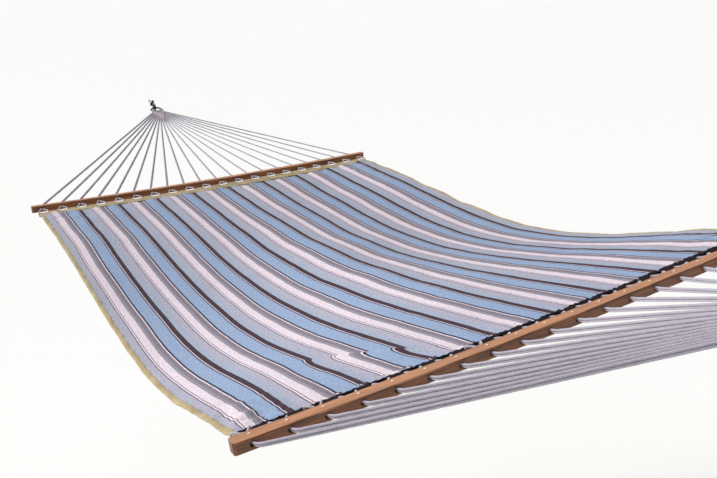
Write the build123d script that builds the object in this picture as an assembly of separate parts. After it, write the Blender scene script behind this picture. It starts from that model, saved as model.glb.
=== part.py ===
from build123d import *
import math
import os

# Hammock with spreader bars. Millimetres, +Z up, X along the hammock, Y across it.
# The origin is under the middle of the bed, level with the lowest point of its sag.
# "near" is the +X end and "far" is the -X end. Each end is built level at +X, mirrored for the
# far end, and then rolled a little about the line through the two hooks, because an empty
# hammock hangs with its two bars slightly out of parallel.

# ---------------------------------------------------------------- driving dimensions

# Spreader bars: bent hardwood, drilled through for the ropes
bar_length = 1400.0
bar_depth = 30.0
bar_height = 24.0
bar_bow = 10.0                  # how much lower a bar's middle is than its ends
bar_edge_round = 3.0
bar_end_chamfer = 6.0
bar_spacing = 2130.0            # between the centres of the two bars
bar_mid_z = 147.0               # height of a bar's centre at its middle
rope_count = 20
rope_pitch = 70.0
rope_hole_dia = 13.0

# Ropes: each is doubled, both strands through one hole of the bar
rope_dia = 5.0
strand_gap_half = 3.6           # strands side by side in the bar, each this far from the middle
strand_stack_half = 4.0         # strands one above the other in the clew
mouth_run = 9.0                 # straight rope beyond each face of the bar before it turns
mouth_bend = 12.0

# Nails that pin each rope in its hole
nail_dia = 1.6
nail_length = 20.0
nail_head_dia = 5.0
nail_head_height = 1.2
nail_setback = 2.0              # towards the bed from the bar's centre line

# Hem: dowel, and the cloth pocket that it lies in, notched where each rope loops round it
dowel_dia = 10.0
dowel_length = 1364.0
dowel_setback = 45.0            # from the bar's centre line towards the bed
dowel_drop = 14.0               # below the bar's centre line
loop_half_width = 17.5
loop_radius = 8.3               # from the dowel's axis to the middle of the rope round it
loop_drop = 20.0                # bottom of the loop below the rope hole
loop_bend = 5.0
hem_radius = 8.6
hem_width = 38.0
hem_bore_dia = 11.0
hem_length = 1352.0
hem_tail_above = 4.0
hem_tail_below = 2.6
notch_half_width = 21.0
notch_depth = 16.0              # beyond the dowel's axis towards the bed

# Bed cloth: a striped top layer on a plain backing whose long sides turn over the top
cloth_width = 1360.0
cloth_thickness = 2.0
cloth_gap = 0.3
turnover_width = 16.0
turnover_thickness = 1.5
sag_middle = 76.0               # sag of the ridge that the tight middle ropes leave
sag_sides = 56.0                # how much deeper the cloth hangs on each side of the ridge
ridge_y = 20.0
ridge_width = 300.0
ridge_shape = 1.4
sag_skew = 1.0                  # over 1 puts the deepest part nearer the near end
sag_skew_gain = 0.4             # more of that away from even_y
even_y = 180.0
cloth_stations = 6
cloth_stops = 12                # points across the bed on each layer's surface
hem_seam_gap = 1.5              # between the hem's tail and the end of both layers
half_gap = 0.5                  # each half of the bed stops this far from the middle

# Harness: ring and woven clew
ring_radius = 24.0
ring_wire_radius = 3.5
ring_x = 1785.0
ring_rise = 250.0               # ring's centre above a bar's centre
clew_sleeve_radius = 8.0
clew_clearance = 0.4
clew_sleeve_angle = 130.0
clew_thickness = 14.0
clew_top = 12.0                 # from the ring's centre, towards the bar
clew_apex = 138.0
clew_half_width = 29.0
clew_apex_half_width = 3.4
clew_edge_curve = 0.65          # under 1 makes the sides bulge near the apex
clew_side_steps = 8
rope_first_anchor = 30.0
rope_last_anchor = 132.0
anchor_depth = 6.0              # how far a strand runs inside the clew's edge
socket_gap = 0.1

# Hook, from the bowl that holds the ring back to the threaded stem
hook_wire_radius = 4.0
hook_bowl_radius = 12.5
hook_ring_clearance = 0.3
hook_shank_start = 66.0         # distances from the ring's centre, away from the bed
hook_throat = 52.0
hook_tip = 44.0
hook_tip_end = 54.0
hook_tip_rise = 21.0
hook_tip_ball_radius = 6.0
collar_radius = 9.5
collar_thickness = 6.0
washer_radius = 9.0
washer_thickness = 1.6
nut_across_flats = 13.0
nut_thickness = 6.5
stem_free_length = 36.0
stem_end_radius = 3.75          # past the nut, where it goes into a post's hole
stem_shoulder = 0.5             # thicker part that shows past the nut
stem_shoulder_chamfer = 0.2
stem_end_chamfer = 0.8
fit_gap = 0.05

# How far each end is rolled out of level about the line through the hooks
hang_roll = 2.5
roll_run = 965.0                # the cloth's twist is spread over this much each side

# ---------------------------------------------------------------- worked-out places

bar_x = bar_spacing / 2
bow_radius = bar_length ** 2 / (8 * bar_bow) + bar_bow / 2
bow_axis_z = bar_mid_z + bow_radius
bow_axis = Axis((0, 0, bow_axis_z), (1, 0, 0))
dowel_x = bar_x - dowel_setback
dowel_mid_z = bar_mid_z - dowel_drop
ring_z = bar_mid_z + ring_rise
pull_slope = math.atan2(ring_rise, ring_x - bar_x)
to_bar = Vector(-math.cos(pull_slope), 0, -math.sin(pull_slope))
to_top = Vector(-math.sin(pull_slope), 0, math.cos(pull_slope))
across = Vector(0, 1, 0)
ring_centre = Vector(ring_x, 0, ring_z)
harness_plane = Plane(origin=ring_centre, x_dir=to_bar, z_dir=to_bar.cross(across))
side_plane = Plane(origin=ring_centre, x_dir=to_bar, z_dir=to_bar.cross(to_top))
contact_u = ring_radius - ring_wire_radius - hook_ring_clearance / 2
hang_z = (ring_centre - to_bar * contact_u).Z
hang_axis = Axis((0, 0, hang_z), (1, 0, 0))
bowl_u = ring_radius - ring_wire_radius - hook_wire_radius - hook_ring_clearance


def harness_point(along, sideways, above):
    """A point from the ring's centre: towards the bar, along +Y, and square to both."""
    return ring_centre + to_bar * along + across * sideways + to_top * above


def on_bow(x, y, z_mid):
    """A point at (x, y) on a line that is bowed like the bars and is at z_mid in its middle."""
    radius = bow_axis_z - z_mid
    return Vector(x, y, bow_axis_z - math.sqrt(radius ** 2 - y ** 2))


def sweep_bowed(profile_face, length):
    """A profile drawn at y = 0, carried along the bow for the given length."""
    half_angle = math.degrees(math.asin(length / 2 / bow_radius))
    start = profile_face.rotate(bow_axis, -half_angle)
    return revolve(start, axis=bow_axis, revolution_arc=2 * half_angle)


def rope_y(index):
    return (index - (rope_count - 1) / 2) * rope_pitch


# ---------------------------------------------------------------- bars and nails

def spreader_bar(nails):
    section = Rectangle(bar_depth, bar_height)
    section = fillet(section.vertices(), bar_edge_round)
    face = Plane(origin=(bar_x, 0, bar_mid_z), x_dir=(1, 0, 0), z_dir=(0, -1, 0)) * section
    bar = sweep_bowed(face.face(), bar_length)
    plan = Rectangle(bar_depth, bar_length)
    plan = chamfer(plan.vertices(), bar_end_chamfer)
    bar &= Pos(bar_x, 0, bar_mid_z) * extrude(plan, 2 * bar_height, both=True)
    for index in range(rope_count):
        middle = on_bow(bar_x, rope_y(index), bar_mid_z)
        bar -= Pos(middle) * Rot(0, 90, 0) * Cylinder(rope_hole_dia / 2, bar_depth + 2)
    for nail in nails:
        bar -= nail
    return bar


def rope_nails():
    nails = []
    for index in range(rope_count):
        top = on_bow(bar_x - nail_setback, rope_y(index), bar_mid_z) + Vector(0, 0, bar_height / 2)
        shank = Pos(top) * Pos(0, 0, -nail_length / 2) * Cylinder(nail_dia / 2, nail_length)
        head = Pos(top) * Pos(0, 0, nail_head_height / 2 - 0.2)
        head *= Cylinder(nail_head_dia / 2, nail_head_height)
        nails.append(shank + head)
    return nails


# ---------------------------------------------------------------- ropes

def clew_half_width_at(along):
    """How far out the ropes leave the clew: its sides curve in towards the apex."""
    share = max(0.0, (rope_last_anchor - along) / (rope_last_anchor - clew_top))
    return clew_apex_half_width + (clew_half_width - clew_apex_half_width) * share ** clew_edge_curve


def rope_leads(index):
    """Where each of a rope's two strands starts inside the clew, and its mouth by the bar."""
    y = rope_y(index)
    side = 1 if y > 0 else -1
    order = rope_count / 2 - 0.5 - abs(index - (rope_count - 1) / 2)
    share = order / (rope_count / 2 - 1)
    anchor_u = rope_first_anchor + (rope_last_anchor - rope_first_anchor) * share
    sideways = side * clew_half_width_at(anchor_u)
    leads = []
    for strand in (-1, 1):
        mouth = on_bow(bar_x, y, bar_mid_z)
        mouth += Vector(bar_depth / 2 + mouth_run, strand * strand_gap_half, 0)
        leaving = harness_point(anchor_u, sideways, -strand * strand_stack_half)
        leads.append((leaving - (mouth - leaving).normalized() * anchor_depth, mouth))
    return leads


def rope(index):
    """One doubled rope: clew, bar, round the dowel, and back through the same hole."""
    hole = on_bow(bar_x, rope_y(index), bar_mid_z)
    face_x = bar_depth / 2 + mouth_run
    loop_x = -dowel_setback - loop_radius
    reach = math.hypot(dowel_setback - face_x, dowel_drop)
    fall = math.atan2(dowel_drop, dowel_setback - face_x) - math.asin(loop_radius / reach)
    loop_top = -(-loop_x - face_x) * math.tan(fall)

    half = []
    for strand, (inner, mouth) in zip((-1, 1), rope_leads(index)):
        half.append([
            inner,
            mouth,
            hole + Vector(-face_x, strand * strand_gap_half, 0),
            hole + Vector(loop_x, strand * loop_half_width, loop_top),
            hole + Vector(loop_x, strand * loop_half_width, -loop_drop),
        ])
    points = half[0] + half[1][::-1]
    bends = [mouth_bend, mouth_bend, loop_radius, loop_bend]
    path = FilletPolyline(*points, radius=bends + bends[::-1])
    start = Plane(origin=path @ 0, z_dir=path % 0)
    return sweep(start * Circle(rope_dia / 2), path=path)


# ---------------------------------------------------------------- hem

def hem_dowel():
    face = Plane(origin=(dowel_x, 0, dowel_mid_z), x_dir=(1, 0, 0), z_dir=(0, -1, 0))
    return sweep_bowed((face * Circle(dowel_dia / 2)).face(), dowel_length)


def hem_pocket(tail_slope):
    """The cloth pocket round the dowel, with a flat tail that meets the bed's two layers."""
    body = Circle(hem_radius)
    tail = Polyline(
        (0, hem_radius - 1), (-hem_width / 2, hem_tail_above), (-hem_width, hem_tail_above),
        (-hem_width, -hem_tail_below), (-hem_width / 2, -hem_tail_below), (0, -hem_radius + 1),
        close=True)
    body += make_face(tail)
    body -= Circle(hem_bore_dia / 2)
    plane = Plane(origin=(dowel_x, 0, dowel_mid_z), x_dir=(1, 0, 0), z_dir=(0, -1, 0))
    face = plane * Rot(0, 0, tail_slope) * body
    hem = sweep_bowed(face.face(), hem_length)
    depth = hem_radius + notch_depth + 2
    for index in range(rope_count):
        middle = on_bow(dowel_x, rope_y(index), dowel_mid_z)
        notch = Box(depth, 2 * notch_half_width, 6 * hem_radius)
        hem -= Pos(middle) * Pos(depth / 2 - notch_depth, 0, 0) * notch
    return hem


# ---------------------------------------------------------------- bed cloth

def bed_mid_z(x, sideways=ridge_y):
    """Height between the bed's two layers, measured as if the bars weren't bowed."""
    skew = sag_skew + sag_skew_gain * (2 * (sideways - even_y) / bar_length) ** 2
    share = math.sin(math.pi * ((x + dowel_x) / (2 * dowel_x)) ** skew)
    side = 1 - math.exp(-(abs(sideways - ridge_y) / ridge_width) ** ridge_shape)
    return dowel_mid_z - share * (sag_middle + share * sag_sides * side)


def bed_roll(x):
    return hang_roll * max(-1.0, min(1.0, x / roll_run))


def cloth_point(x, sideways, above):
    radius = bow_axis_z - bed_mid_z(x, sideways) - above
    angle = sideways / radius
    y = radius * math.sin(angle)
    up = bow_axis_z - radius * math.cos(angle) - hang_z
    turn = math.radians(bed_roll(x))
    rolled_y = y * math.cos(turn) - up * math.sin(turn)
    return Vector(x, rolled_y, hang_z + y * math.sin(turn) + up * math.cos(turn))


def cloth_section(x, outline):
    """A face across the cloth. outline lists (sideways, above); long runs follow the sag."""
    edges = []
    for start, end in zip(outline, outline[1:] + outline[:1]):
        run = end[0] - start[0]
        stops = cloth_stops if abs(run) > cloth_width / 2 else 1
        points = [cloth_point(x, start[0] + run * i / stops, start[1]) for i in range(stops)]
        points.append(cloth_point(x, *end))
        edges.append(Spline(*points) if stops > 1 else Line(*points))
    return make_face(edges)


def cloth_half(outline, start_x, end_x):
    step = (end_x - start_x) / (cloth_stations - 1)
    stations = [start_x + step * i for i in range(cloth_stations)]
    return loft([cloth_section(x, outline) for x in stations], ruled=True)


edge = cloth_width / 2
inside_fold = edge - turnover_thickness
top_layer_outline = [
    (-inside_fold + cloth_gap, 0),
    (inside_fold - cloth_gap, 0),
    (inside_fold - cloth_gap, cloth_thickness),
    (-inside_fold + cloth_gap, cloth_thickness),
]
fold_under = cloth_thickness + cloth_gap
fold_over = fold_under + turnover_thickness
backing_outline = [
    (-edge, -cloth_gap - cloth_thickness),
    (edge, -cloth_gap - cloth_thickness),
    (edge, fold_over),
    (edge - turnover_width, fold_over),
    (edge - turnover_width, fold_under),
    (inside_fold, fold_under),
    (inside_fold, -cloth_gap),
    (-inside_fold, -cloth_gap),
    (-inside_fold, fold_under),
    (-edge + turnover_width, fold_under),
    (-edge + turnover_width, fold_over),
    (-edge, fold_over),
]


# ---------------------------------------------------------------- ring, clew and hook

def ring():
    return harness_plane * Torus(ring_radius, ring_wire_radius)


def clew():
    """The woven triangle: a sleeve round the ring's lower arc, narrowing to the apex."""
    steps = [clew_top + (rope_last_anchor - clew_top) * i / clew_side_steps
             for i in range(clew_side_steps + 1)] + [clew_apex]
    side = [(u, clew_half_width_at(u)) for u in steps]
    other_side = [(u, -width) for u, width in reversed(side)]
    outline = Polyline(*side, *other_side, close=True)
    plate = extrude(make_face(outline), clew_thickness / 2, both=True)
    plate -= Cylinder(ring_radius, 2 * clew_thickness)
    wire = Plane(origin=(ring_radius, 0, 0), x_dir=(1, 0, 0), z_dir=(0, -1, 0))
    sleeve_face = (wire * Circle(clew_sleeve_radius)).face()
    sleeve_face = sleeve_face.rotate(Axis.Z, -clew_sleeve_angle / 2)
    body = plate + revolve(sleeve_face, axis=Axis.Z, revolution_arc=clew_sleeve_angle)
    body -= Torus(ring_radius, ring_wire_radius + clew_clearance)
    body = harness_plane * body
    for index in range(rope_count):
        for inner, mouth in rope_leads(index):
            socket = Plane(origin=inner, z_dir=mouth - inner)
            bore = Cylinder(rope_dia / 2 + socket_gap, 60, align=(Align.CENTER, Align.CENTER, Align.MIN))
            body -= socket * Pos(0, 0, -socket_gap) * bore
    return body


def hook_point(along, above):
    return harness_point(-along, 0, above)


def hook():
    """Bent wire bowl, ball tip, collar and threaded stem in one piece."""
    path = FilletPolyline(
        hook_point(hook_shank_start, 0), hook_point(hook_throat, 0),
        hook_point(hook_throat - 9, -hook_bowl_radius - 0.5),
        hook_point(bowl_u, -hook_bowl_radius - 0.5), hook_point(bowl_u, hook_bowl_radius + 0.5),
        hook_point(hook_tip, hook_bowl_radius + 0.5), hook_point(hook_tip_end, hook_tip_rise),
        radius=[6, 6, hook_bowl_radius, hook_bowl_radius, 8])
    start = Plane(origin=path @ 0, z_dir=path % 0)
    body = sweep(start * Circle(hook_wire_radius), path=path)
    body += Pos(path @ 1) * Sphere(hook_tip_ball_radius)
    collar = stem_disc(collar_radius, collar_thickness, hook_shank_start)
    stem_start = hook_shank_start + collar_thickness
    neck_length = washer_thickness + nut_thickness + 2 * fit_gap + stem_shoulder
    outwards = Axis(ring_centre, -to_bar)
    neck = stem_disc(hook_wire_radius, neck_length, stem_start)
    neck = chamfer(neck.edges().sort_by(outwards)[-1], stem_shoulder_chamfer)
    stem = stem_disc(stem_end_radius, stem_free_length - stem_shoulder, stem_start + neck_length)
    stem = chamfer(stem.edges().sort_by(outwards)[-1], stem_end_chamfer)
    return body + chamfer(collar.edges().filter_by(GeomType.CIRCLE), 1.5) + neck + stem


def stem_disc(radius, thickness, start):
    """A disc on the hook's line, from start to start + thickness behind the ring's centre."""
    plane = Plane(origin=hook_point(start + thickness / 2, 0), z_dir=-to_bar)
    return plane * Cylinder(radius, thickness)


def washer():
    start = hook_shank_start + collar_thickness
    body = stem_disc(washer_radius, washer_thickness, start)
    return body - stem_disc(hook_wire_radius + fit_gap, washer_thickness + 2, start - 1)


def nut():
    start = hook_shank_start + collar_thickness + washer_thickness + fit_gap
    plane = Plane(origin=hook_point(start, 0), z_dir=-to_bar)
    hexagon = RegularPolygon(nut_across_flats / 2, 6, major_radius=False)
    body = plane * extrude(hexagon, nut_thickness)
    return body - stem_disc(hook_wire_radius + fit_gap, nut_thickness + 2, start - 1)


# ---------------------------------------------------------------- assembly

def mirrored(shape):
    return mirror(shape, about=Plane.YZ)


def both_ends(name, shape, far_shape=None):
    """The node at each end, hung at that end's roll."""
    far_level = mirrored(far_shape or shape)
    return {
        f"near_{name}": shape.rotate(hang_axis, hang_roll),
        f"far_{name}": far_level.rotate(hang_axis, -hang_roll),
    }


tail_x = dowel_x - hem_width
cloth_end = tail_x - hem_seam_gap
near_tail_slope = math.degrees(math.atan2(dowel_mid_z - bed_mid_z(tail_x), hem_width))
far_tail_slope = math.degrees(math.atan2(dowel_mid_z - bed_mid_z(-tail_x), hem_width))

nodes = {}
nails = rope_nails()
nodes.update(both_ends("spreader_bar", spreader_bar(nails)))
nodes.update(both_ends("bar_nails", Compound(nails)))
nodes.update(both_ends("hem_dowel", hem_dowel()))
nodes.update(both_ends("end_hem", hem_pocket(near_tail_slope), hem_pocket(far_tail_slope)))
nodes.update(both_ends("clew", clew()))
nodes.update(both_ends("ring", ring()))
for index in range(rope_count):
    nodes.update(both_ends(f"rope_{index + 1:02d}", rope(index)))
nodes["near_top_cloth"] = cloth_half(top_layer_outline, half_gap, cloth_end)
nodes["far_top_cloth"] = cloth_half(top_layer_outline, -cloth_end, -half_gap)
nodes["near_backing_cloth"] = cloth_half(backing_outline, half_gap, cloth_end)
nodes["far_backing_cloth"] = cloth_half(backing_outline, -cloth_end, -half_gap)
nodes["near_hook"] = hook()
nodes["far_hook"] = mirrored(hook())
nodes["hook_washers"] = Compound([washer(), mirrored(washer())])
nodes["hook_nuts"] = Compound([nut(), mirrored(nut())])

os.makedirs("parts", exist_ok=True)
for name, shape in nodes.items():
    export_step(shape, f"parts/{name}.step")
print(len(nodes), "nodes; line through the hooks at z =", round(hang_z, 3))
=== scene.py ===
import math

import bpy
import numpy as np
from mathutils import Matrix, Vector


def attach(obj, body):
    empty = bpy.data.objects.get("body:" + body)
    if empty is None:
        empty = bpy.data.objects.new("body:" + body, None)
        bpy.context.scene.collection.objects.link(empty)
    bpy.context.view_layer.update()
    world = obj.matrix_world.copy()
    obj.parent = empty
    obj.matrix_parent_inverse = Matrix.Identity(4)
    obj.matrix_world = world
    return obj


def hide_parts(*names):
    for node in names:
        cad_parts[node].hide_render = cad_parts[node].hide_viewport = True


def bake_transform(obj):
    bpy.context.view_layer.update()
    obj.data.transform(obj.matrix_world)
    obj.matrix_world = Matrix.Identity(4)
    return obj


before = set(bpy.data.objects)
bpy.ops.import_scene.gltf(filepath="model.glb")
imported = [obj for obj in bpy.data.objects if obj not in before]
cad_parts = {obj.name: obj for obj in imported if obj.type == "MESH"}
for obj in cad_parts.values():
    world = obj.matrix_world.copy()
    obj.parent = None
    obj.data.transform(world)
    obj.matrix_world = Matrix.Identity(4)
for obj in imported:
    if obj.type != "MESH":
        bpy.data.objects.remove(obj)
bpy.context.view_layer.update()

# Metres, in the part's own frame: X along the hammock (near end +X), Y across it, Z up.

# ---------------------------------------------------------------- the part's dimensions

BAR_LENGTH = 1.4
BAR_DEPTH = 0.030
BAR_X = 1.065
BAR_Z = 0.147
BOW = 0.010
BOW_RADIUS = BAR_LENGTH ** 2 / (8 * BOW) + BOW / 2
BOW_AXIS_Z = BAR_Z + BOW_RADIUS
HANG_Z = 0.403675                   # height of the line through the two hooks
ROLL = math.radians(2.5)            # how far each end is rolled about it, in opposite directions
ROLL_RUN = 0.965                    # the bed's roll grows evenly from its middle to here

ROPE_COUNT = 20
ROPE_PITCH = 0.070
ROPE_RADIUS = 0.0025
ROPE_LAY = 0.0150                   # length of one turn of the rope's lay
ROPE_STEP = 0.0026                  # spacing of a rope mesh's rings
ROPE_SIDES = 12
STRAND_HALF = 0.00262               # half the distance between the two strands of a pair
RAISED_LOOPS = (0, 2, 7)            # near ropes whose loops stand up from the hem
RAISED_SLACK = 0.0035
LOW_SLACK = -0.0025
PAIR_LEAN = {1: math.radians(80), -1: math.radians(22)}     # a pair's turn from side by side
MOUTH_RUN = 0.009                   # how far past each face of the bar a pair keeps to its hole
STRAIGHT_RUN = 0.030                # the straight stretch next to the clew and to the bar
BURIED_RUN = 0.006                  # how much of a strand is inside the clew's weave
LOOP_HALF = 0.0175
LOOP_RADIUS = 0.0083
LOOP_DROP = 0.020

DOWEL_X = 1.020
DOWEL_Z = 0.133
DOWEL_DROP = 0.014
HEM_WIDTH = 0.038
HEM_RADIUS = 0.0082
HEM_LENGTH = 1.352
HEM_THICKNESS = 0.0011
NOTCH_HALF = 0.021
NOTCH_DEPTH = 0.016
NOTCH_LIP = 0.0035                  # how much deeper a notch is in its middle than at its sides

CLOTH_WIDTH = 1.36
HALF_WIDTH = CLOTH_WIDTH / 2
LAYER_THICKNESS = 0.0012
TOP_ABOVE = 0.0018                  # where the top layer's grid lies, from the bed's middle surface
BACKING_ABOVE = -0.0012
TOP_COLUMNS = 340
BACKING_COLUMNS = 273
BINDING_COLUMNS = 900
BED_STEP = 0.004
TOP_EDGE_INSET = 0.002
TOP_FAR_INSET = 0.034
BED_END_INSET = 0.010
SAG_MIDDLE = 0.076
SAG_SIDES = 0.056
RIDGE_Y = 0.020
RIDGE_WIDTH = 0.300
RIDGE_POWER = 1.4
SAG_SKEW = 0.4                      # how far the lowest point moves along the bed, away from SKEW_Y
SKEW_Y = 0.18
PLEAT_START = (0.700, -0.405)
PLEAT_END = (0.905, -0.232)
PLEAT_DEPTH = 0.021
CORNER_PULL = 0.015
CORNER_Y = -0.56
CORNER_REACH = 0.10
PATTERN_DRIFT = 0.0022              # how far the stripes wander across the cloth

RING_X = 1.785
RING_Z = 0.397
RING_RADIUS = 0.024
PULL = math.atan2(RING_Z - BAR_Z, RING_X - BAR_X)
STEM_START = 0.0721                 # from the ring's centre to where the hook's stem is bare
THREAD_PITCH = 0.00125

CLEW_TOP = 0.012
CLEW_HALF = 0.029
CLEW_APEX_HALF = 0.0034
FIRST_ANCHOR = 0.030
LAST_ANCHOR = 0.132
WARP_COUNT = 9
WARP_RADIUS = 0.0021
WARP_FOOT = 0.050                   # from the ring's centre to where the outer warp cords end
WARP_REACH = 0.078                  # how much further the middle one goes
WEFT_ROWS = 10
WEFT_RADIUS = 0.0022
WEFT_START = 0.043
WEFT_PITCH = 0.0092
WEFT_CROSSING = 0.0052
WEFT_HEIGHT = 0.0062
WEFT_TURN_HEIGHT = 0.0015
CLEW_CORD_LAY = 0.011
CLEW_CORD_STEP = 0.0014
CLEW_CORD_SIDES = 10

# ---------------------------------------------------------------- shapes they give


def rolled(p, angle):
    """A point, or an array of them, turned about the line through the hooks."""
    p = np.asarray(p, float)
    up = p[..., 2] - HANG_Z
    c, s = np.cos(angle), np.sin(angle)
    return np.stack([p[..., 0], p[..., 1] * c - up * s, HANG_Z + p[..., 1] * s + up * c], -1)


def at_end(p, end):
    """A point of the level +X end, moved to the near (1) or far (-1) end and hung at its roll."""
    p = np.array(p, float)
    p[..., 0] *= end
    return rolled(p, end * ROLL)


def on_bow(x, y, z_mid):
    """A point on the arc that has the bar's bow axis and is z_mid high in its middle."""
    radius = BOW_AXIS_Z - z_mid
    return np.array([x, y, BOW_AXIS_Z - math.sqrt(radius ** 2 - y ** 2)])


def bed_sag(x, y):
    """How far the bed hangs below the straight line between its two dowels."""
    along = np.clip((x + DOWEL_X) / (2 * DOWEL_X), 0, 1)
    skew = 1.0 + SAG_SKEW * (2 * (y - SKEW_Y) / BAR_LENGTH) ** 2
    share = np.sin(np.pi * along ** skew)
    side = 1 - np.exp(-(np.abs(y - RIDGE_Y) / RIDGE_WIDTH) ** RIDGE_POWER)
    return share * (SAG_MIDDLE + share * SAG_SIDES * side)


def bed_point(x, y, above):
    """Points of the bed: x along it, y measured across the cloth, above its middle surface."""
    radius = BOW_AXIS_Z - DOWEL_Z + bed_sag(x, y) - above
    angle = y / radius
    p = np.stack([x, radius * np.sin(angle), BOW_AXIS_Z - radius * np.cos(angle)], -1)
    return rolled(p, ROLL * np.clip(x / ROLL_RUN, -1, 1))


# ---------------------------------------------------------------- smooth random fields

rng = np.random.default_rng(41)


def waves(count, shortest, longest, spread=math.pi, heading=0.0):
    """A sum of sine waves of random length and heading, mostly -1 to 1, as a function of x, y."""
    lengths = np.exp(rng.uniform(np.log(shortest), np.log(longest), count))
    turns = heading + rng.uniform(-spread, spread, count)
    phases = rng.uniform(0, 2 * np.pi, count)
    sizes = (lengths / longest) ** 0.7

    def field(x, y):
        total = 0.0 * x
        for length, turn, phase, size in zip(lengths, turns, phases, sizes):
            run = x * np.cos(turn) + y * np.sin(turn)
            total = total + size * np.sin(2 * np.pi * run / length + phase)
        return total / math.sqrt((sizes ** 2).sum() / 2) / 2.2
    return field


# ---------------------------------------------------------------- materials


def srgb(r, g, b):
    """A linear colour from 8-bit sRGB values."""
    def lin(v):
        v /= 255
        return v / 12.92 if v <= 0.04045 else ((v + 0.055) / 1.055) ** 2.4
    return (lin(r), lin(g), lin(b), 1.0)


def darker(colour, share):
    return tuple(c * share for c in colour[:3]) + (1.0,)


class Nodes:
    """Short names for building one material's node tree."""

    def __init__(self, name):
        self.material = bpy.data.materials.new(name)
        self.material.use_nodes = True
        self.tree = self.material.node_tree
        self.shader = self.tree.nodes["Principled BSDF"]

    def put(self, kind, values=None, **settings):
        node = self.tree.nodes.new("ShaderNode" + kind)
        for key, value in settings.items():
            setattr(node, key, value)
        for key, value in (values or {}).items():
            self.feed(node, key, value)
        return node

    def feed(self, node, key, value):
        socket = node.inputs[key]
        if isinstance(value, bpy.types.NodeSocket):
            self.tree.links.new(value, socket)
        else:
            socket.default_value = value

    def math(self, operation, a, b=0.0):
        return self.put("Math", {0: a, 1: b}, operation=operation).outputs[0]

    def times(self, a, b):
        return self.math("MULTIPLY", a, b)

    def plus(self, a, b):
        return self.math("ADD", a, b)

    def minus(self, a, b):
        return self.math("SUBTRACT", a, b)

    def attribute(self, name):
        return self.put("Attribute", attribute_name=name).outputs["Fac"]

    def place(self):
        return self.put("TexCoord").outputs["Object"]

    def scaled(self, vector, scale):
        return self.put("Mapping", {"Vector": vector, "Scale": scale}).outputs[0]

    def noise(self, vector, scale, detail=3.0, roughness=0.55, distortion=0.0):
        return self.put("TexNoise", {"Vector": vector, "Scale": scale, "Detail": detail,
                                     "Roughness": roughness, "Distortion": distortion}).outputs[0]

    def cloth_noise(self, x, y, detail):
        """Noise over the cloth: x and y are each an attribute and its noise cells to the metre."""
        place = self.put("CombineXYZ", {0: self.times(*x), 1: self.times(*y)}).outputs[0]
        return self.noise(place, 1.0, detail)

    def ramp(self, factor, stops, interpolation="LINEAR"):
        node = self.put("ValToRGB", {"Fac": factor})
        band = node.color_ramp
        band.interpolation = interpolation
        while len(band.elements) < len(stops):
            band.elements.new(0.5)
        for element, (place, colour) in zip(band.elements, stops):
            element.position = place
            element.color = colour
        return node.outputs[0]

    def mix(self, factor, a, b, blend="MIX"):
        node = self.put("Mix", data_type="RGBA", blend_type=blend)
        self.feed(node, 0, factor)
        self.feed(node, 6, a)
        self.feed(node, 7, b)
        return node.outputs[2]

    def lit(self, colour, light):
        """The colour, multiplied by a lightness."""
        top_light_colour = self.put("CombineColor", {0: light, 1: light, 2: light}).outputs[0]
        return self.mix(1.0, colour, top_light_colour, "MULTIPLY")

    def remap(self, value, low, high, to_low, to_high):
        return self.put("MapRange", {"Value": value, "From Min": low, "From Max": high,
                                     "To Min": to_low, "To Max": to_high}).outputs[0]

    def bump(self, height, distance, strength):
        return self.put("Bump", {"Height": height, "Distance": distance,
                                 "Strength": strength}).outputs[0]

    def weave(self, across, along, pitch):
        """A plain weave's height from two thread counts at right angles."""
        turn = 2 * math.pi / pitch
        warp = self.math("SINE", self.times(across, turn))
        weft = self.math("SINE", self.times(along, turn * 0.8))
        return self.plus(self.times(warp, 0.6), self.times(weft, 0.5))

    def finish(self, **values):
        for key, value in values.items():
            self.feed(self.shader, key.replace("_", " "), value)
        return self.material


STRIPE_REPEAT = 0.1466
FIRST_PLUM = 0.5493                 # the leftmost plum band starts this far left of the middle
WHOLE_REPEATS = 10                  # keeps the stripe count positive all over the cloth


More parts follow.
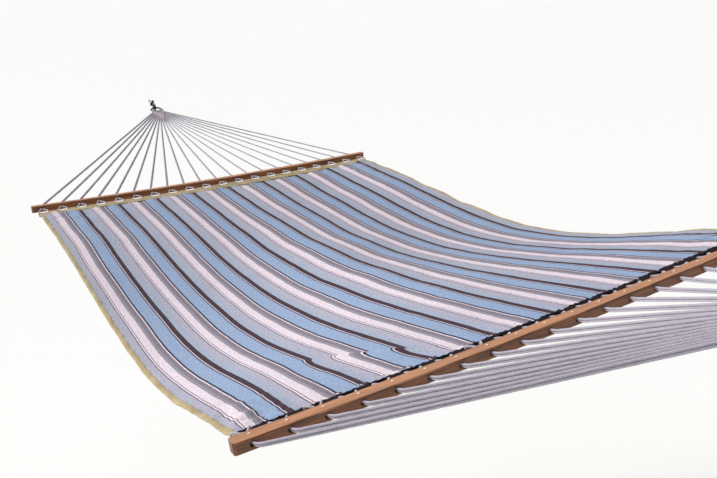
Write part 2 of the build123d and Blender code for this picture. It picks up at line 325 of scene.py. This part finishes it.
def striped_cloth():
    m = Nodes("striped_cloth")
    across, along = m.attribute("across"), m.attribute("along")
    line, white = srgb(66, 60, 82), srgb(228, 214, 224)
    bands = [
        (13.5, srgb(60, 40, 54)),
        (17, srgb(164, 173, 193)), (18, srgb(175, 173, 190)),
        (2.2, line), (3.6, white), (2.2, srgb(92, 68, 88)), (21, white),
        (8, srgb(150, 145, 158)), (9.5, srgb(130, 122, 134)),
        (1.5, line), (3, white), (5.5, srgb(48, 50, 70)), (35.5, srgb(148, 168, 200)),
        (3.0, line), (2.8, white),
    ]
    total = sum(width for width, colour in bands)
    stops, start = [], 0.0
    for width, colour in bands:
        stops.append((start / total, colour))
        start += width
    wander = m.noise(m.put("CombineXYZ", {0: along, 1: across}).outputs[0], 9.0, 2.0)
    place = m.plus(across, m.times(m.minus(wander, 0.5), 0.003))
    count = m.math("DIVIDE", m.plus(place, FIRST_PLUM + WHOLE_REPEATS * STRIPE_REPEAT),
                   STRIPE_REPEAT)
    colour = m.ramp(m.math("FRACT", count), stops, "CONSTANT")
    threads = m.cloth_noise((across, 900.0), (along, 60.0), 2.0)
    slubs = m.cloth_noise((across, 120.0), (along, 700.0), 3.0)
    mottle = m.cloth_noise((across, 210.0), (along, 150.0), 2.0)
    fade = m.noise(m.put("CombineXYZ", {0: along, 1: across}).outputs[0], 3.0, 3.0)
    light = m.plus(m.remap(threads, 0.25, 0.75, 0.72, 1.20),
                   m.remap(slubs, 0.25, 0.75, -0.16, 0.16))
    light = m.plus(light, m.remap(fade, 0.2, 0.8, -0.05, 0.05))
    light = m.plus(light, m.remap(mottle, 0.3, 0.7, -0.13, 0.13))
    height = m.plus(m.weave(across, along, 0.0022), m.times(threads, 1.2))
    return m.finish(Base_Color=m.lit(colour, light), Roughness=0.88,
                    Normal=m.bump(height, 0.0006, 0.6), Sheen_Weight=0.08,
                    Sheen_Roughness=0.5, Specular_IOR_Level=0.2)


def plain_cloth():
    m = Nodes("khaki_cloth")
    across, along, seam = m.attribute("across"), m.attribute("along"), m.attribute("seam")
    patches = m.cloth_noise((along, 14.0), (across, 14.0), 4.0)
    colour = m.ramp(patches, [(0.3, srgb(158, 138, 98)), (0.55, srgb(186, 167, 124)),
                              (0.8, srgb(202, 185, 146))])
    threads = m.cloth_noise((across, 800.0), (along, 120.0), 2.0)
    colour = m.lit(colour, m.remap(threads, 0.25, 0.75, 0.82, 1.12))
    # Painted shade: the stitched rows are darkened towards brown, as shade in the seam's groove.
    colour = m.mix(m.times(seam, 0.55), colour, srgb(80, 66, 44))
    height = m.plus(m.weave(across, along, 0.0018), m.times(seam, -2.0))
    return m.finish(Base_Color=colour, Roughness=0.9, Normal=m.bump(height, 0.0006, 0.6),
                    Sheen_Weight=0.2, Specular_IOR_Level=0.25)


# Painted shadow: a near-black cloth that stands in for the shade on the near hem behind the bar.
def shadow_band_cloth():
    m = Nodes("painted_shadow_band")
    across, along = m.attribute("across"), m.attribute("along")
    threads = m.cloth_noise((across, 700.0), (along, 200.0), 3.0)
    colour = m.ramp(threads, [(0.3, srgb(12, 8, 11)), (0.7, srgb(42, 32, 36))])
    return m.finish(Base_Color=colour, Roughness=0.95, Specular_IOR_Level=0.15,
                    Normal=m.bump(m.weave(across, along, 0.0016), 0.0005, 0.6))


def wood(name, dark, middle, light, roughness, coat, painted_top_light=None):
    """Wood with its grain along Y. A lighter colour fades in where it faces up: painted light on
    the top faces.
    """
    m = Nodes(name)
    place = m.place()
    rings = m.noise(m.scaled(place, (1.0, 0.045, 1.0)), 95.0, 5.0, 0.6, 1.5)
    streaks = m.noise(m.scaled(place, (1.0, 0.012, 1.0)), 520.0, 3.0)
    pores = m.noise(m.scaled(place, (1.0, 0.03, 1.0)), 1500.0, 2.0)
    tone = m.noise(place, 5.0, 2.0)
    grain = m.plus(m.times(rings, 0.62), m.times(streaks, 0.38))
    colour = m.ramp(grain, [(0.36, dark), (0.5, middle), (0.66, light)])
    colour = m.mix(m.remap(pores, 0.30, 0.42, 0.55, 0.0), colour, dark)
    colour = m.lit(colour, m.remap(tone, 0.3, 0.7, 0.86, 1.12))
    if painted_top_light is not None:
        # Painted light: up-facing faces blend, patchily, to a lighter colour that stands in for the
        # light falling on the top.
        facing = m.put("SeparateXYZ", {0: m.put("TexCoord").outputs["Normal"]}).outputs["Z"]
        top_light_mask = m.plus(facing, m.times(m.minus(tone, 0.5), 0.5))
        top_light_colour = m.ramp(grain, [(0.36, darker(painted_top_light, 0.62)), (0.56, painted_top_light)])
        colour = m.mix(m.remap(top_light_mask, 0.55, 0.85, 0.0, 0.85), colour, top_light_colour)
    rough = m.remap(streaks, 0.3, 0.7, roughness - 0.08, roughness + 0.1)
    height = m.plus(m.times(streaks, 0.6), m.times(pores, 0.4))
    return m.finish(Base_Color=colour, Roughness=rough, Normal=m.bump(height, 0.0006, 0.35),
                    Coat_Weight=coat, Coat_Roughness=0.28)


def rope_fibre(name, light, dark):
    m = Nodes(name)
    place = m.place()
    fluff = m.noise(place, 900.0, 3.0)
    grime = m.noise(place, 26.0, 4.0)
    colour = m.ramp(fluff, [(0.3, dark), (0.62, light)])
    # Painted shade: the grooves between the rope's strands are darkened by their depth.
    colour = m.mix(m.times(m.attribute("groove"), 0.7), colour, darker(dark, 0.30))
    colour = m.mix(m.remap(grime, 0.45, 0.75, 0.0, 0.35), colour, dark)
    return m.finish(Base_Color=colour, Roughness=0.82, Normal=m.bump(fluff, 0.0005, 0.5),
                    Sheen_Weight=0.3, Specular_IOR_Level=0.3)


def black_coat(name, bare_stem=False):
    """Black coated steel, chipped in places. A hook's stem is bare and threaded past its collar."""
    m = Nodes(name)
    place = m.place()
    speck = m.noise(place, 1400.0, 3.0)
    worn = m.noise(place, 160.0, 5.0, 0.65)
    mask = m.remap(worn, 0.62, 0.70, 0.0, 0.8)
    colour = m.mix(mask, srgb(24, 24, 27), srgb(92, 88, 84))
    metal = m.times(mask, 0.9)
    height = m.plus(speck, m.times(mask, -0.8))
    if bare_stem:
        split = m.put("SeparateXYZ", {0: place})
        outward = m.minus(m.math("ABSOLUTE", split.outputs["X"]), RING_X)
        upward = m.minus(split.outputs["Z"], RING_Z)
        out = m.plus(m.times(outward, math.cos(PULL)), m.times(upward, math.sin(PULL)))
        stem = m.math("GREATER_THAN", out, STEM_START)
        thread = m.math("SINE", m.times(out, 2 * math.pi / THREAD_PITCH))
        zinc = m.ramp(worn, [(0.35, srgb(120, 120, 124)), (0.65, srgb(186, 186, 190))])
        colour = m.mix(stem, colour, zinc)
        metal = m.math("MAXIMUM", metal, m.times(stem, 0.85))
        height = m.plus(height, m.times(m.times(stem, thread), 1.6))
    return m.finish(Base_Color=colour, Metallic=metal, Normal=m.bump(height, 0.0003, 0.6),
                    Roughness=m.remap(speck, 0.3, 0.7, 0.32, 0.5))


def bare_metal(name, colour, roughness, metallic=1.0):
    m = Nodes(name)
    place = m.place()
    brushed = m.noise(m.scaled(place, (0.15, 1.0, 1.0)), 1500.0, 2.0)
    spots = m.noise(place, 220.0, 4.0)
    tint = m.mix(m.remap(spots, 0.5, 0.72, 0.0, 0.5), colour, darker(colour, 0.5))
    return m.finish(Base_Color=tint, Metallic=metallic, Normal=m.bump(brushed, 0.0002, 0.4),
                    Roughness=m.remap(brushed, 0.3, 0.7, roughness, roughness + 0.2))


STRIPES = striped_cloth()
KHAKI = plain_cloth()
SHADOW_BAND = shadow_band_cloth()
# The last colour is painted light for the bar's up-facing faces.
HARDWOOD = wood("varnished_hardwood", srgb(64, 31, 10), srgb(118, 66, 27), srgb(152, 94, 45),
                roughness=0.5, coat=0.2, painted_top_light=srgb(208, 150, 112))
DOWEL_WOOD = wood("bare_dowel_wood", srgb(150, 112, 72), srgb(190, 152, 106), srgb(214, 182, 138),
                  roughness=0.7, coat=0.0)
ROPE = rope_fibre("rope_fibre", srgb(208, 201, 213), srgb(150, 143, 157))
CLEW_CORD = rope_fibre("clew_cord", srgb(222, 206, 212), srgb(168, 154, 164))
BLACK = black_coat("black_coat")
HOOK_STEEL = black_coat("black_hook_bare_stem", bare_stem=True)
ZINC = bare_metal("zinc_steel", srgb(150, 150, 152), roughness=0.32)
NAIL_STEEL = bare_metal("nail_steel", srgb(255, 248, 226), roughness=0.30, metallic=0.35)

# ---------------------------------------------------------------- meshes


def mesh_object(name, points, faces, material, smooth=True, **attributes):
    mesh = bpy.data.meshes.new(name)
    mesh.from_pydata([tuple(map(float, p)) for p in points], [],
                     [tuple(map(int, f)) for f in faces])
    mesh.materials.append(material)
    if smooth:
        mesh.polygons.foreach_set("use_smooth", [True] * len(mesh.polygons))
    for key, values in attributes.items():
        layer = mesh.attributes.new(key, "FLOAT", "POINT")
        layer.data.foreach_set("value", np.asarray(values, np.float32))
    mesh.update()
    obj = bpy.data.objects.new(name, mesh)
    bpy.context.scene.collection.objects.link(obj)
    return obj


def grid_faces(rows, columns):
    """Quads of a grid of points stored row by row."""
    r, c = [a.ravel() for a in np.meshgrid(np.arange(rows - 1), np.arange(columns - 1),
                                           indexing="ij")]
    first = r * columns + c
    return np.stack([first, first + 1, first + columns + 1, first + columns], -1)


def thicken(obj, thickness, offset=-1.0):
    """A solid sheet instead of a bare surface."""
    solid = obj.modifiers.new("thickness", "SOLIDIFY")
    solid.thickness = thickness
    solid.offset = offset
    bpy.context.view_layer.update()
    evaluated = obj.evaluated_get(bpy.context.evaluated_depsgraph_get())
    mesh = bpy.data.meshes.new_from_object(evaluated)
    obj.modifiers.clear()
    obj.data = mesh


def route_line(points, spacing):
    """A NURBS spline with the route's points as control points, read back as evenly spaced ones."""
    curve = bpy.data.curves.new("route", "CURVE")
    curve.dimensions = "3D"
    curve.resolution_u = 24
    spline = curve.splines.new("NURBS")
    spline.points.add(len(points) - 1)
    for slot, p in zip(spline.points, points):
        slot.co = (*map(float, p), 1.0)
    spline.order_u = 3
    spline.use_endpoint_u = True
    holder = bpy.data.objects.new("route", curve)
    mesh = bpy.data.meshes.new_from_object(holder)
    line = np.array([v.co for v in mesh.vertices])
    bpy.data.meshes.remove(mesh)
    bpy.data.objects.remove(holder)
    bpy.data.curves.remove(curve)
    steps = np.linalg.norm(np.diff(line, axis=0), axis=1)
    far = np.concatenate([[0], np.cumsum(steps)])
    even = np.linspace(0, far[-1], max(2, round(far[-1] / spacing)))
    return np.stack([np.interp(even, far, line[:, i]) for i in range(3)], -1), even


def laid_rope(route, spacing, radius, lay, sides, phase):
    """Points, faces and groove depths of a three-strand laid rope along a route."""
    lobes, groove = 3, 0.20
    line, along = route_line(route, spacing)
    tangent = np.gradient(line, axis=0)
    tangent /= np.linalg.norm(tangent, axis=1)[:, None]
    side = np.cross(tangent[0], (0, 0, 1))
    if np.linalg.norm(side) < 0.1:
        side = np.cross(tangent[0], (0, 1, 0))
    frames = []
    for t in tangent:
        side = side - t * (side @ t)
        side /= np.linalg.norm(side)
        frames.append(side)
    frames = np.array(frames)
    other = np.cross(tangent, frames)
    angle = np.arange(sides) * 2 * np.pi / sides
    twist = 2 * np.pi * along / lay + phase
    lobe = np.abs(np.cos(lobes * (angle[None, :] - twist[:, None]) / 2))
    depth = (1 - lobe) ** 1.5
    size = radius * (1 - groove * depth)
    around = (frames[:, None, :] * np.cos(angle)[None, :, None]
              + other[:, None, :] * np.sin(angle)[None, :, None])
    points = line[:, None, :] + around * size[:, :, None]
    count = len(line)
    i, j = [a.ravel() for a in np.meshgrid(np.arange(count - 1), np.arange(sides), indexing="ij")]
    k = (j + 1) % sides
    quads = np.stack([i * sides + j, i * sides + k, (i + 1) * sides + k, (i + 1) * sides + j], -1)
    caps = [tuple(range(sides - 1, -1, -1)), tuple((count - 1) * sides + a for a in range(sides))]
    return points.reshape(-1, 3), [*map(tuple, quads), *caps], depth.ravel()


def joined(parts):
    """One set of points, faces and groove depths from several."""
    points, faces, depths, offset = [], [], [], 0
    for p, f, d in parts:
        points.append(p)
        depths.append(d)
        faces += [tuple(int(v) + offset for v in face) for face in f]
        offset += len(p)
    return np.concatenate(points), faces, np.concatenate(depths)


# ---------------------------------------------------------------- ropes


def harness_point(along, sideways, above):
    """A point from the ring's centre: towards the bar, along +Y, and square to both."""
    c, s = math.cos(PULL), math.sin(PULL)
    return np.array([RING_X - along * c - above * s, sideways, RING_Z - along * s + above * c])


def clew_half(along):
    """Half the clew's width at a distance from the ring's centre."""
    share = max(0.0, (LAST_ANCHOR - along) / (LAST_ANCHOR - CLEW_TOP))
    return CLEW_APEX_HALF + (CLEW_HALF - CLEW_APEX_HALF) * share ** 0.65


def rope_route(index, end):
    """A doubled rope's route on the level +X end: clew, bar, round the dowel and back."""
    middle = (ROPE_COUNT - 1) / 2
    y = (index - middle) * ROPE_PITCH
    side = 1 if y > 0 else -1
    order = middle - abs(index - middle)
    anchor = FIRST_ANCHOR + (LAST_ANCHOR - FIRST_ANCHOR) * order / (ROPE_COUNT / 2 - 1)
    face = BAR_DEPTH / 2 + MOUTH_RUN
    hole = on_bow(BAR_X, y, BAR_Z)
    loop_x = -(BAR_X - DOWEL_X) - LOOP_RADIUS
    slack = abs(rng.normal(0, 0.0008))
    if end > 0:
        slack += RAISED_SLACK if index in RAISED_LOOPS else LOW_SLACK
    beside = STRAND_HALF * math.cos(PAIR_LEAN[end])
    below = STRAND_HALF * math.sin(PAIR_LEAN[end])
    half = []
    for strand in (-1, 1):
        leaving = harness_point(anchor, side * clew_half(anchor) + strand * beside * 0.5,
                                -strand * below)
        mouth = hole + (face, strand * beside, -strand * below)
        run = (mouth - leaving) / np.linalg.norm(mouth - leaving)
        half.append([
            leaving - run * BURIED_RUN,
            leaving + run * STRAIGHT_RUN,
            mouth - run * STRAIGHT_RUN,
            mouth,
            hole + (-face, strand * STRAND_HALF, -strand * 0.0006),
            hole + (loop_x * 0.70, strand * LOOP_HALF * 0.62, slack - 0.0025),
            hole + (loop_x * 0.94, strand * LOOP_HALF, slack - 0.0045),
            hole + (loop_x - 0.002, strand * LOOP_HALF, -DOWEL_DROP + 0.003),
            hole + (loop_x + 0.001, strand * LOOP_HALF, -LOOP_DROP - 0.003),
        ])
    return half[0] + half[1][::-1]


END_NAMES = {1: "near", -1: "far"}
for end, end_name in END_NAMES.items():
    for index in range(ROPE_COUNT):
        node = f"{end_name}_rope_{index + 1:02d}"
        route = [at_end(p, end) for p in rope_route(index, end)]
        points, faces, depth = laid_rope(route, ROPE_STEP, ROPE_RADIUS, ROPE_LAY, ROPE_SIDES,
                                         phase=rng.uniform(0, 6))
        rope = mesh_object(f"{node}_laid", points, faces, ROPE, groove=depth)
        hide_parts(node)
        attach(rope, f"{end_name}_end")

# ---------------------------------------------------------------- bed

long_folds = waves(26, 0.25, 0.9, spread=0.35, heading=math.pi / 2)
cross_folds = waves(22, 0.18, 0.7, spread=0.5)
crumples = waves(40, 0.05, 0.22)
edge_ripple = waves(14, 0.11, 0.40, spread=0.3)
drift = waves(16, 0.25, 0.9, spread=0.4)

# How high each kind of fold stands.
LONG_FOLD = 0.0022
CROSS_FOLD = 0.0016
CRUMPLE = 0.0007
CORNER_CRUMPLE = 0.008
CORNER_LIFT = 0.003
EDGE_RIPPLE = 0.0030
SCALLOP = 0.0022
PLEAT_LIFT = 0.0058
PLEAT_RIM = 0.0030


def pleat(x, y):
    """The fold across the cloth near its +X end: how far it lifts, and how much it takes up."""
    start, stop = np.array(PLEAT_START), np.array(PLEAT_END)
    run = stop - start
    length = np.hypot(*run)
    run = run / length
    along = (x - start[0]) * run[0] + (y - start[1]) * run[1]
    off = (x - start[0]) * run[1] - (y - start[1]) * run[0]
    begun = 1 / (1 + np.exp(-(along - 0.01) / 0.022))
    inside = begun / (1 + np.exp((along - length - 0.01) / 0.02))
    edge = 1 / (1 + np.exp(-off / 0.0042))
    beyond = np.maximum(off, 0)
    lift = inside * (PLEAT_LIFT * np.exp(-(beyond / 0.035) ** 1.3) * edge
                     + PLEAT_RIM * np.exp(-(off / 0.012) ** 2))
    taken = inside * edge * PLEAT_DEPTH * np.exp(-beyond / 0.16)
    return lift, taken


def relief(x, y):
    """How far the cloth's own folds lift it off the smooth sag, in metres."""
    to_end = np.maximum(DOWEL_X - np.abs(x), 0)
    to_side = np.maximum(HALF_WIDTH - np.abs(y), 0)
    pulled = np.exp(-to_end / 0.13)
    scallop = np.cos(2 * np.pi * y / ROPE_PITCH) * SCALLOP * pulled * (1 - np.exp(-to_end / 0.02))
    body = (LONG_FOLD * long_folds(x, y) + CROSS_FOLD * cross_folds(x, y)
            + CRUMPLE * crumples(x, y))
    corner = np.exp(-(to_end / 0.16) ** 1.5) * np.exp(-(to_side / 0.13) ** 1.5)
    near_left = 1.0 + 0.6 * (x > 0) * (y < 0)
    tight = near_left * (0.35 + 0.65 * (1 - np.exp(-to_side / 0.02)))
    body = body + corner * tight * (CORNER_CRUMPLE * crumples(x * 1.8, y * 1.8) + CORNER_LIFT)
    side = np.exp(-to_side / 0.03) * EDGE_RIPPLE * edge_ripple(x, y)
    calm = np.clip(to_end / 0.05, 0, 1)
    return (body + side) * calm + scallop + pleat(x, y)[0]


def corner_bend(y):
    """How much of the near left corner's pull reaches the stripes there."""
    return np.exp(-((y - CORNER_Y) / CORNER_REACH) ** 2)


def bed_grid(name, material, sideways, low_x, high_x, above):
    """A sheet over the bed: its points carry where they are across and along the cloth."""
    xs = np.linspace(low_x, high_x, round((high_x - low_x) / BED_STEP) + 1)
    x, y = np.meshgrid(xs, sideways, indexing="ij")
    points = bed_point(x, y, relief(x, y) + above)
    drawn = np.clip((x - 0.55) / 0.45, 0, 1) ** 2 * corner_bend(y)
    pattern = y + pleat(x, y)[1] + PATTERN_DRIFT * drift(x, y) + CORNER_PULL * drawn
    sheet = mesh_object(name, points.reshape(-1, 3), grid_faces(len(xs), len(sideways)), material,
                        across=pattern.ravel(), along=x.ravel(), seam=np.zeros(x.size))
    thicken(sheet, LAYER_THICKNESS)
    return sheet


top_half_width = HALF_WIDTH - TOP_EDGE_INSET
top = bed_grid("bed_top", STRIPES, np.linspace(-top_half_width, top_half_width, TOP_COLUMNS),
               -DOWEL_X + TOP_FAR_INSET, DOWEL_X - BED_END_INSET, TOP_ABOVE)
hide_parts("near_top_cloth", "far_top_cloth")

bottom = bed_grid("bed_backing", KHAKI, np.linspace(-HALF_WIDTH, HALF_WIDTH, BACKING_COLUMNS),
                  -DOWEL_X + BED_END_INSET, DOWEL_X - BED_END_INSET, BACKING_ABOVE)
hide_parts("near_backing_cloth", "far_backing_cloth")


def side_binding(side):
    """The backing's long edge, turned over the top layer and stitched down."""
    profile = [(0.0112, 0.0020), (0.0118, 0.0028), (0.0100, 0.0036), (0.0070, 0.0040),
               (0.0035, 0.0040), (0.0010, 0.0034), (-0.0012, 0.0018), (-0.0018, 0.0000),
               (-0.0012, -0.0022), (0.0010, -0.0034), (0.0040, -0.0037), (0.0100, -0.0033),
               (0.0140, -0.0030)]
    stitched_rows = 2
    xs = np.linspace(-DOWEL_X + BED_END_INSET, DOWEL_X - BED_END_INSET, BINDING_COLUMNS)
    pucker = waves(30, 0.012, 0.06, spread=0.2)
    rows = []
    for inward, above in profile:
        wobble = 0.0006 * pucker(xs, 0 * xs) * (1 if above > 0 else 0.4)
        y = side * (HALF_WIDTH - inward - wobble * 0.8)
        rows.append(bed_point(xs, y, relief(xs, y) + above + wobble))
    across = np.repeat([inward for inward, above in profile], len(xs))
    seam = np.repeat([1.0 if i < stitched_rows else 0.0 for i in range(len(profile))], len(xs))
    binding = mesh_object(f"side_binding_{'left' if side < 0 else 'right'}",
                          np.concatenate(rows), grid_faces(len(profile), len(xs)), KHAKI,
                          across=across, along=np.tile(xs, len(profile)), seam=seam)
    return binding


bindings = [side_binding(-1), side_binding(1)]


def end_hem(end):
    """The strip and the tabs that hold the dowel, with an opening where each rope comes round."""
    centres = [(i - (ROPE_COUNT - 1) / 2) * ROPE_PITCH for i in range(ROPE_COUNT)]
    offsets = [*np.linspace(-1, 1, 13) * NOTCH_HALF,
               *np.linspace(NOTCH_HALF, ROPE_PITCH - NOTCH_HALF, 7)]
    half = HEM_LENGTH / 2
    ys = {round(c + offset, 6) for c in centres for offset in offsets}
    ys = np.array([-half, *sorted(y for y in ys if -half < y < half), half])
    columns = len(ys)

    wrap = [(-HEM_WIDTH - 0.004, 0.0034), (-HEM_WIDTH, 0.0038), (-0.033, 0.0040),
            (-0.027, 0.0048), (-0.021, 0.0058), (-NOTCH_DEPTH, 0.0068), (-0.011, 0.0076),
            (-0.006, 0.0081)]
    wrap += [(HEM_RADIUS * math.sin(a), HEM_RADIUS * math.cos(a))
             for a in np.linspace(0, math.pi, 13)]
    wrap += [(-0.006, -0.0080), (-0.011, -0.0074), (-NOTCH_DEPTH, -0.0064), (-0.021, -0.0054),
             (-0.027, -0.0044), (-HEM_WIDTH, -0.0040)]
    first_open, last_open = 5, len(wrap) - 4
    stitched_row = 1

    points = []
    for i, (dx, dz) in enumerate(wrap):
        for y in ys:
            away = min(abs(y - c) for c in centres) / NOTCH_HALF
            shift = 0.0
            if i in (first_open, last_open):
                shift = NOTCH_LIP - NOTCH_LIP * math.sqrt(max(0.0, 1 - away ** 4))
            drop = float(bed_sag(end * (DOWEL_X + dx), y)) if dx < 0 else 0.0
            fullness = 0.0008 * math.sin(y * 410 + i) + 0.0006 * math.sin(y * 171 + 2 * i)
            if first_open < i < last_open:
                fullness *= 0.3
            p = on_bow(DOWEL_X + dx + shift, y, DOWEL_Z)
            p[2] += dz - drop + fullness
            points.append(at_end(p, end))
    faces = []
    for f in grid_faces(len(wrap), columns):
        row, column = divmod(int(f[0]), columns)
        middle = (ys[column] + ys[column + 1]) / 2
        inside = min(abs(middle - c) for c in centres) < NOTCH_HALF
        if inside and first_open <= row < last_open:
            continue
        faces.append(f if end > 0 else f[::-1])

    seam = np.repeat([1.0 if i == stitched_row else 0.0 for i in range(len(wrap))], columns)
    across = np.tile(ys, len(wrap))
    steps = [math.dist(a, b) for a, b in zip(wrap, wrap[1:])]
    run = np.repeat(np.cumsum([0] + steps), columns)
    if end < 0:
        hem = mesh_object("far_hem_cloth", points, faces, KHAKI, across=run, along=across,
                          seam=seam)
    else:
        sewn_x, pleat_x = DOWEL_X - HEM_WIDTH, DOWEL_X - 0.030
        pattern = across + PATTERN_DRIFT * drift(sewn_x + 0 * across, across)
        pattern = pattern + CORNER_PULL * corner_bend(across)
        pattern = pattern + pleat(pleat_x, across)[1]
        hem = mesh_object("near_hem_cloth", points, faces, STRIPES, across=pattern,
                          along=sewn_x + run, seam=seam)
        # The rows from just before the openings onward, more of them towards +Y, take the painted
        # shadow band instead of stripes.
        hem.data.materials.append(SHADOW_BAND)
        for face in hem.data.polygons:
            rows_in_shadow = 2 + int(face.center.y > -0.15) + int(face.center.y > 0.3)
            if face.vertices[0] // columns >= first_open - rows_in_shadow:
                face.material_index = 1
    thicken(hem, HEM_THICKNESS, 0.0)
    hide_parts(f"{END_NAMES[end]}_end_hem")
    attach(hem, f"{END_NAMES[end]}_end")
    return hem


hems = [end_hem(1), end_hem(-1)]
for piece in (top, bottom, *bindings):
    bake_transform(piece)

# ---------------------------------------------------------------- clew


def warp_route(share):
    """A cord up over the ring and back, at a share from -1 to 1 across the clew."""
    lean = share * 1.02
    out_u, out_y = math.cos(lean), math.sin(lean)
    ring_u, ring_y = RING_RADIUS * out_u, RING_RADIUS * out_y
    foot = WARP_FOOT + WARP_REACH * (1 - abs(share)) ** 0.8
    up, down = [[
        harness_point(foot, share * clew_half(foot) * 0.92, above * 0.0030),
        harness_point(foot * 0.62 + ring_u * 0.38, share * clew_half(0.055) * 0.95, above * 0.0038),
        harness_point(ring_u + out_u * 0.009, ring_y + out_y * 0.009, above * 0.0052),
        harness_point(ring_u - out_u * 0.002, ring_y - out_y * 0.002, above * 0.0078),
        harness_point(ring_u - out_u * 0.0066, ring_y - out_y * 0.0066, above * 0.0034),
    ] for above in (1, -1)]
    return up + down[::-1]


def weft_route(row, returning):
    """A cord across the clew, over and under the warp. The returning one is half a row on."""
    u = WEFT_START + WEFT_PITCH * row
    width = clew_half(u) * 1.04 + 0.0012
    crossings = max(3, round(2 * width / WEFT_CROSSING))
    route = []
    for i in range(crossings + 1):
        over = 1 if (i + row) % 2 else -1
        height = WEFT_HEIGHT if 0 < i < crossings else WEFT_TURN_HEIGHT
        share = -1 + 2 * i / crossings
        if returning:
            route.append(harness_point(u + 0.0044 + 0.0008 * math.cos(i + row), share * width,
                                       -over * height))
        else:
            route.append(harness_point(u + 0.0010 * math.sin(i * 2.1 + row), share * width,
                                       over * height))
    return route


def clew_weave(end):
    """Cords looped over the ring and woven across, narrowing to where the last rope leaves."""
    side_count = (WARP_COUNT - 1) / 2
    cords = [(warp_route((k - side_count) / side_count), WARP_RADIUS, k)
             for k in range(WARP_COUNT)]
    for row in range(WEFT_ROWS):
        cords.append((weft_route(row, False), WEFT_RADIUS, row))
        cords.append((weft_route(row, True), WEFT_RADIUS, row + 1))
    points, faces, depth = joined(
        laid_rope([at_end(p, end) for p in route], CLEW_CORD_STEP, radius, CLEW_CORD_LAY,
                  CLEW_CORD_SIDES, phase)
        for route, radius, phase in cords)
    clew = mesh_object(f"{END_NAMES[end]}_clew_weave", points, faces, CLEW_CORD, groove=depth)
    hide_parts(f"{END_NAMES[end]}_clew")
    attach(clew, f"{END_NAMES[end]}_end")


clew_weave(1)
clew_weave(-1)

# ---------------------------------------------------------------- finishes of the shown CAD nodes

FINISH = {
    "spreader_bar": HARDWOOD,
    "bar_nails": NAIL_STEEL,
    "hem_dowel": DOWEL_WOOD,
    "ring": BLACK,
    "hook": HOOK_STEEL,
    "hook_washers": ZINC,
    "hook_nuts": ZINC,
}
for node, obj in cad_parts.items():
    for part, material in FINISH.items():
        if node == part or node.split("_", 1)[-1] == part:
            obj.data.materials.clear()
            obj.data.materials.append(material)

# ---------------------------------------------------------------- stage, light and camera

FLOOR_Z = -1.7
STUDIO_RADIUS = 60.0
STUDIO_TOP = 40.0
STUDIO_SIDES = 96


def plain(name, colour, roughness, glow=0.0):
    m = Nodes(name)
    return m.finish(Base_Color=srgb(0, 0, 0) if glow else colour, Roughness=roughness,
                    Emission_Color=colour, Emission_Strength=glow,
                    Specular_IOR_Level=0.0 if glow else 0.3)


wide = STUDIO_RADIUS * 1.1
corners = [(-wide, -wide, FLOOR_Z), (wide, -wide, FLOOR_Z), (wide, wide, FLOOR_Z),
           (-wide, wide, FLOOR_Z)]
floor = mesh_object("studio_floor", corners, [(0, 1, 2, 3)],
                    plain("floor_paper", srgb(250, 250, 248), 0.95), smooth=False)
turns = np.arange(STUDIO_SIDES) * 2 * math.pi / STUDIO_SIDES
wall = [(STUDIO_RADIUS * math.cos(t), STUDIO_RADIUS * math.sin(t), z)
        for z in (FLOOR_Z - 1, STUDIO_TOP) for t in turns]
wall_faces = [(i, (i + 1) % STUDIO_SIDES, STUDIO_SIDES + (i + 1) % STUDIO_SIDES, STUDIO_SIDES + i)
              for i in range(STUDIO_SIDES)]
backdrop = mesh_object("studio_backdrop", wall, wall_faces,
                       plain("backdrop_paper", srgb(251, 251, 250), 1.0, glow=1.0), smooth=False)
backdrop.visible_diffuse = False
backdrop.visible_glossy = False
backdrop.visible_shadow = False


def lamp(name, kind, place, target, energy, colour, spread):
    """A light. spread is a sun's angle, or the width of an area light."""
    light = bpy.data.lights.new(name, kind)
    light.energy = energy
    light.color = colour
    if kind == "SUN":
        light.angle = spread
    else:
        light.shape = "DISK"
        light.size = spread
    obj = bpy.data.objects.new(name, light)
    obj.location = place
    obj.rotation_euler = (Vector(target) - Vector(place)).to_track_quat("-Z", "Y").to_euler()
    bpy.context.scene.collection.objects.link(obj)


lamp("key", "SUN", place=(-2.6, -3.2, 3.7), target=(0, 0, 0.1), energy=3.25,
     colour=(1.0, 0.99, 0.98), spread=0.75)
lamp("far_fill", "AREA", place=(0.5, -0.7, 1.3), target=(-1.1, 0.1, 0.15), energy=6,
     colour=(1.0, 0.98, 0.95), spread=1.2)

world = bpy.data.worlds.new("studio")
world.use_nodes = True
background = world.node_tree.nodes["Background"]
background.inputs["Color"].default_value = (0.95, 0.97, 1.0, 1.0)
background.inputs["Strength"].default_value = 0.36
bpy.context.scene.world = world
bpy.context.scene.view_settings.view_transform = "Standard"


def add_camera(azimuth, elevation, roll, place, lens):
    """A camera at a place, looking back along an azimuth from -Y and an elevation, in degrees."""
    a, e, r = (math.radians(v) for v in (azimuth, elevation, roll))
    back = Vector((math.sin(a) * math.cos(e), -math.cos(a) * math.cos(e), math.sin(e)))
    right = Vector((0, 0, 1)).cross(back).normalized()
    up = back.cross(right)
    right, up = (right * math.cos(r) + up * math.sin(r), up * math.cos(r) - right * math.sin(r))
    camera = bpy.data.cameras.new("photo_camera")
    camera.lens = lens
    camera.sensor_width = 36.0
    camera.clip_end = 200.0
    obj = bpy.data.objects.new("photo_camera", camera)
    obj.matrix_world = Matrix.Translation(place) @ Matrix((right, up, back)).transposed().to_4x4()
    bpy.context.scene.collection.objects.link(obj)
    bpy.context.scene.camera = obj


add_camera(azimuth=64.326, elevation=15.791, roll=-7.156, place=(2.3706, -1.0344, 0.8323),
           lens=44.29)
